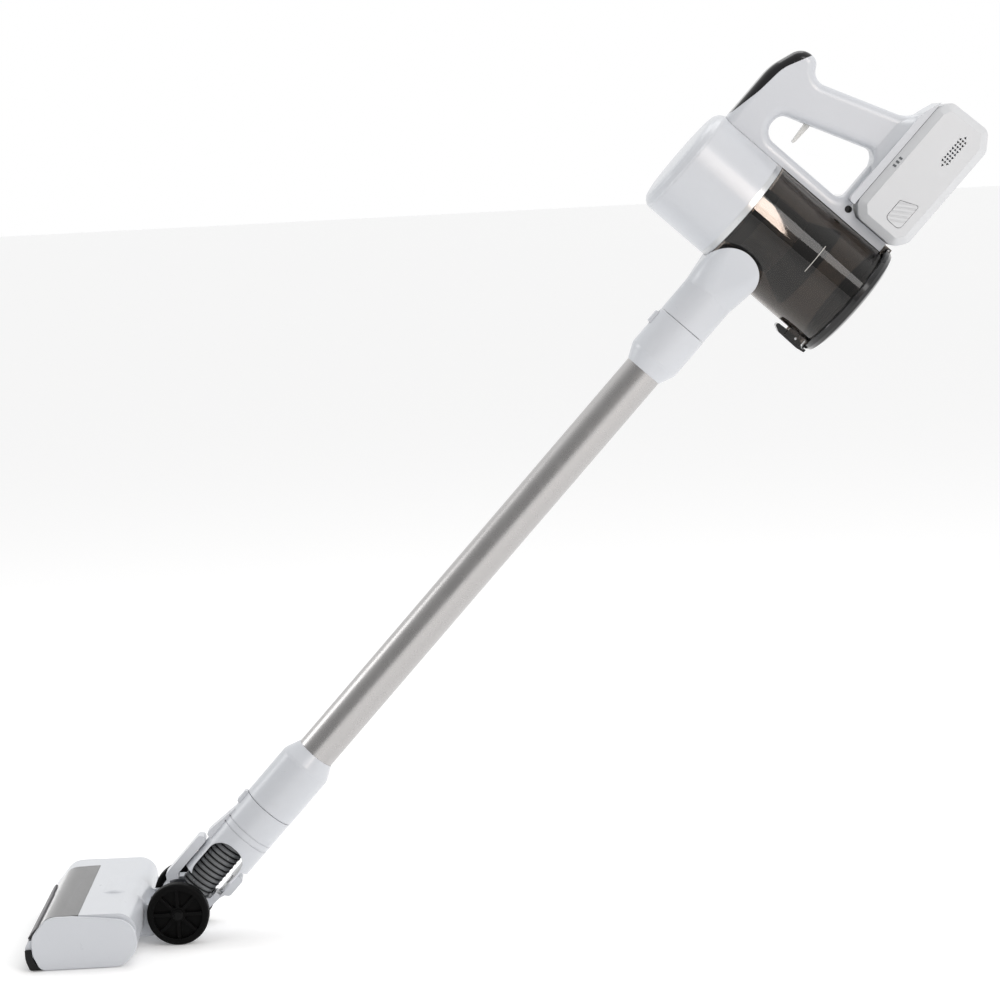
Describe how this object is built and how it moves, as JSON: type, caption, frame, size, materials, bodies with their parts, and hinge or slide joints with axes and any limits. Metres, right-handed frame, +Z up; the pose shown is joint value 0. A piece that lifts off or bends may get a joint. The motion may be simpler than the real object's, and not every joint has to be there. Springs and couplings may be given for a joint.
{
  "type": "cordless stick vacuum",
  "caption": "Cordless stick vacuum with a bin across the hand unit, a loop handle, a slide-off battery, an aluminium wand and a powered floor head on two rear wheels.",
  "frame": {"origin": "on the floor under the middle of the whole object's bounding box, on its symmetry plane", "axes": "+Z up; +X from the floor head toward the hand unit; +Y across, so the symmetry plane is Y = 0"},
  "size_m": [0.9796, 0.25, 0.8515],
  "materials": {
    "white_shell": "satin",
    "battery_white": "satin",
    "smoked_bin": "smoked, see-through",
    "black_gloss": "gloss",
    "black_matte": "matte",
    "tyre_black": "matte",
    "silver_ring": "satin",
    "tube_aluminium": "brushed satin",
    "dark_metal": "satin",
    "steel": "satin",
    "filter_paper": "pleated",
    "rubber_grey": "matte",
    "hose_grey": "ribbed",
    "window_smoked": "smoked, see-through",
    "bristle": "tufted",
    "board_green": "satin",
    "cell_wrap": "satin",
    "light": "gloss"
  },
  "bodies": {
    "hand_unit": {"motor_housing": "white_shell", "front_cap": "white_shell", "trim_ring": "silver_ring", "handle_left": "white_shell", "handle_right": "white_shell", "handle_panel": "black_gloss", "inlet_duct": "white_shell", "motor_can": "dark_metal", "motor_mount": "rubber_grey", "exhaust_filter": "filter_paper", "trigger_pin": "steel", "trigger_switch": "black_matte", "circuit_board": "board_green", "charging_jack": "black_matte", "battery_contacts": "black_matte", "handle_screws": "steel"},
    "fan": {"impeller": "black_matte"},
    "trigger_lever": {"trigger": "white_shell"},
    "battery": {"battery_case": "battery_white", "battery_cells": "cell_wrap", "battery_board": "board_green", "charge_lights": "light"},
    "battery_catch_left": {"battery_button_left": "battery_white"},
    "battery_catch_right": {"battery_button_right": "battery_white"},
    "bin": {"bin_shell": "smoked_bin", "cyclone_core": "black_matte", "mesh_screen": "steel", "pleated_filter": "filter_paper", "latch_pin": "steel", "lid_pin": "steel"},
    "lid": {"bin_lid": "black_gloss", "lid_seal": "rubber_grey"},
    "latch": {"lid_latch": "black_gloss"},
    "wand": {"wand_tube": "tube_aluminium", "upper_coupling": "white_shell", "lower_coupling": "white_shell", "wand_conduit": "black_matte"},
    "wand_catch": {"upper_button": "white_shell"},
    "neck_catch": {"lower_button": "white_shell"},
    "neck": {"neck_socket": "white_shell"},
    "yoke": {"neck_yoke": "white_shell", "swivel_pins": "steel", "neck_hose": "hose_grey"},
    "head": {"head_shell": "white_shell", "head_window": "window_smoked", "sole_plate": "black_matte", "bumper": "black_matte", "end_cap_left": "white_shell", "end_cap_right": "white_shell", "brush_bearings": "steel", "brush_motor": "dark_metal", "drive_belt": "rubber_grey", "wheel_axles": "steel"},
    "brush_roll": {"brush_core": "black_matte", "brush_bristles": "bristle"},
    "pulley": {"motor_pulley": "steel"},
    "left_wheel": {"wheel_left": "tyre_black", "wheel_cap_left": "black_gloss"},
    "right_wheel": {"wheel_right": "tyre_black", "wheel_cap_right": "black_gloss"}
  },
  "joints": [
    {"name": "fan_spin", "type": "hinge", "parent": "hand_unit", "child": "fan", "pos_m": [0.23438, 0, 0.71296], "axis": [0.7274, 0, -0.6862], "continuous": true},
    {"name": "trigger_pull", "type": "hinge", "parent": "hand_unit", "child": "trigger_lever", "pos_m": [0.32142, 0, 0.78483], "axis": [0, -1, 0], "range_deg": [0, 10], "stiffness_Nm_per_rad": 0.08, "springref_deg": -5.73},
    {"name": "battery_slide", "type": "slide", "parent": "hand_unit", "child": "battery", "axis": [0.7274, 0, -0.6862], "range_m": [0, 0.08]},
    {"name": "battery_press_left", "type": "slide", "parent": "battery", "child": "battery_catch_left", "axis": [0, 1, 0], "range_m": [0, 0.003], "stiffness_N_per_m": 600, "springref_m": -0.002},
    {"name": "battery_press_right", "type": "slide", "parent": "battery", "child": "battery_catch_right", "axis": [0, -1, 0], "range_m": [0, 0.003], "stiffness_N_per_m": 600, "springref_m": -0.002},
    {"name": "bin_slide", "type": "slide", "parent": "hand_unit", "child": "bin", "axis": [0.7274, 0, -0.6862], "range_m": [0, 0.15]},
    {"name": "lid_hinge", "type": "hinge", "parent": "bin", "child": "lid", "pos_m": [0.39074, 0, 0.65138], "axis": [0, -1, 0], "range_deg": [0, 80]},
    {"name": "latch_tilt", "type": "hinge", "parent": "bin", "child": "latch", "pos_m": [0.29551, 0, 0.56937], "axis": [0, 1, 0], "range_deg": [0, 7], "stiffness_Nm_per_rad": 0.2, "springref_deg": -5.73},
    {"name": "wand_pull", "type": "slide", "parent": "hand_unit", "child": "wand", "axis": [-0.6862, 0, -0.7274], "range_m": [0, 0.07]},
    {"name": "wand_press", "type": "slide", "parent": "wand", "child": "wand_catch", "axis": [0.7274, 0, -0.6862], "range_m": [0, 0.002], "stiffness_N_per_m": 600, "springref_m": -0.002},
    {"name": "neck_pull", "type": "slide", "parent": "wand", "child": "neck", "axis": [-0.6862, 0, -0.7274], "range_m": [0, 0.07]},
    {"name": "neck_press", "type": "slide", "parent": "neck", "child": "neck_catch", "axis": [0.7274, 0, -0.6862], "range_m": [0, 0.002], "stiffness_N_per_m": 600, "springref_m": -0.002},
    {"name": "neck_swivel", "type": "hinge", "parent": "neck", "child": "yoke", "pos_m": [-0.30874, 0, 0.06435], "axis": [0.7274, 0, -0.6862], "range_deg": [-22, 22], "deforming": ["neck_hose"]},
    {"name": "head_pitch", "type": "hinge", "parent": "yoke", "child": "head", "pos_m": [-0.34625, 0, 0.031], "axis": [0, 1, 0], "range_deg": [-36, 43]},
    {"name": "brush_spin", "type": "hinge", "parent": "head", "child": "brush_roll", "pos_m": [-0.44726, 0, 0.0256], "axis": [0, 1, 0], "continuous": true},
    {"name": "pulley_spin", "type": "hinge", "parent": "head", "child": "pulley", "pos_m": [-0.40525, 0, 0.026], "axis": [0, 1, 0], "continuous": true},
    {"name": "left_wheel_spin", "type": "hinge", "parent": "head", "child": "left_wheel", "pos_m": [-0.34625, -0.045, 0.031], "axis": [0, 1, 0], "continuous": true},
    {"name": "right_wheel_spin", "type": "hinge", "parent": "head", "child": "right_wheel", "pos_m": [-0.34625, 0.045, 0.031], "axis": [0, 1, 0], "continuous": true}
  ],
  "couplings": [
    {"joint": "pulley_spin", "follows": "brush_spin", "ratio": 2.2857}
  ]
}
